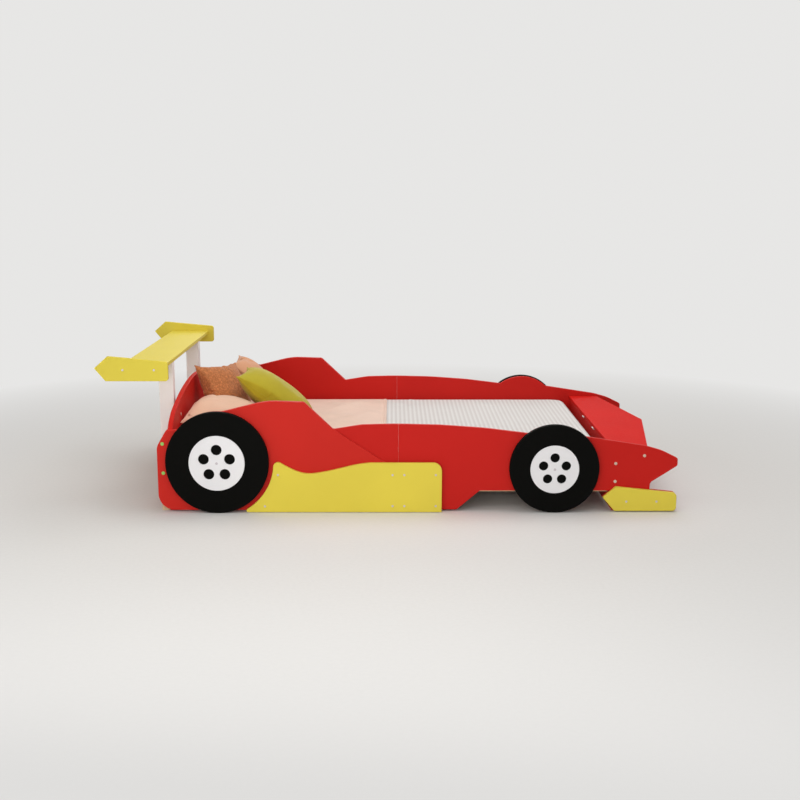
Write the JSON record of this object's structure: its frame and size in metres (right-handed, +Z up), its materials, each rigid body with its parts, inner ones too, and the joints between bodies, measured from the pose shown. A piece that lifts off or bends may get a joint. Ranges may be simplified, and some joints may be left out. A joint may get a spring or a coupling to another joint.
{
  "type": "child's car bed",
  "caption": "Child's bed shaped like a racing car: painted board sides, disc wheels, rear spoiler shelf, hinged hood box at the nose, slatted base with mattress, sheets and cushions.",
  "frame": {"origin": "on the floor under the middle of the whole bed", "axes": "+X to the nose of the car (foot end), +Y to the car's left side, +Z up"},
  "size_m": [2.6048, 1.5208, 0.7058],
  "materials": {
    "red_board": "satin painted board",
    "red_fender": "satin painted board",
    "red_hood": "satin painted board",
    "yellow_board": "satin painted board",
    "tyre_black": "matte black painted board",
    "hub_white": "satin white painted board",
    "white_post": "satin white painted timber",
    "pine": "planed softwood",
    "steel": "satin steel",
    "screw_grey": "satin painted screw heads",
    "bolt_beige": "satin bolt caps",
    "green_cap": "satin plastic caps",
    "mattress_cover": "woven cover",
    "striped_cotton": "woven cotton with soft stripes",
    "peach_cotton": "woven cotton",
    "peach_pillow": "woven cotton",
    "orange_weave": "coarse woven cotton",
    "green_satin": "satin weave",
    "salmon_cotton": "woven cotton"
  },
  "bodies": {
    "bed": {"barrel_nuts": "steel", "beam_blocks": "pine", "capped_bolts": "green_cap", "centre_beam": "pine", "centre_leg_front": "pine", "centre_leg_rear": "pine", "corner_cleat_left": "pine", "corner_cleat_right": "pine", "coverlet": "peach_cotton", "cushion_green": "green_satin", "cushion_orange": "orange_weave", "cushion_salmon": "salmon_cotton", "face_screws": "screw_grey", "fender_board_left": "red_fender", "fender_board_right": "red_fender", "footboard": "red_board", "front_board": "red_board", "headboard": "red_board", "hinge_leaves_footboard": "steel", "hinge_pins": "steel", "hood_box_floor": "pine", "hub_front_left": "hub_white", "hub_front_right": "hub_white", "hub_rear_left": "hub_white", "hub_rear_right": "hub_white", "ledger_left": "pine", "ledger_right": "pine", "mattress": "mattress_cover", "nose_plate_left": "yellow_board", "nose_plate_right": "yellow_board", "panel_bolts": "bolt_beige", "pillow_peach": "peach_pillow", "side_panel_front_left": "red_board", "side_panel_front_right": "red_board", "side_panel_rear_left": "red_board", "side_panel_rear_right": "red_board", "sill_plate_left": "yellow_board", "sill_plate_right": "yellow_board", "slats_1": "pine", "slats_2": "pine", "slats_3": "pine", "spoiler_plate_left": "yellow_board", "spoiler_plate_right": "yellow_board", "spoiler_post_left": "white_post", "spoiler_post_right": "white_post", "spoiler_rail_lower": "white_post", "spoiler_rail_upper": "white_post", "spoiler_shelf": "yellow_board", "striped_sheet": "striped_cotton", "tyre_front_left": "tyre_black", "tyre_front_right": "tyre_black", "tyre_rear_left": "tyre_black", "tyre_rear_right": "tyre_black", "wheel_screws": "screw_grey"},
    "hood": {"hood": "red_hood", "hinge_leaves_hood": "steel"}
  },
  "joints": [
    {"name": "hood_hinge", "type": "hinge", "parent": "bed", "child": "hood", "pos_m": [1.0114, 0, 0.2713], "axis": [0, -1, 0], "range_deg": [0, 88]}
  ]
}
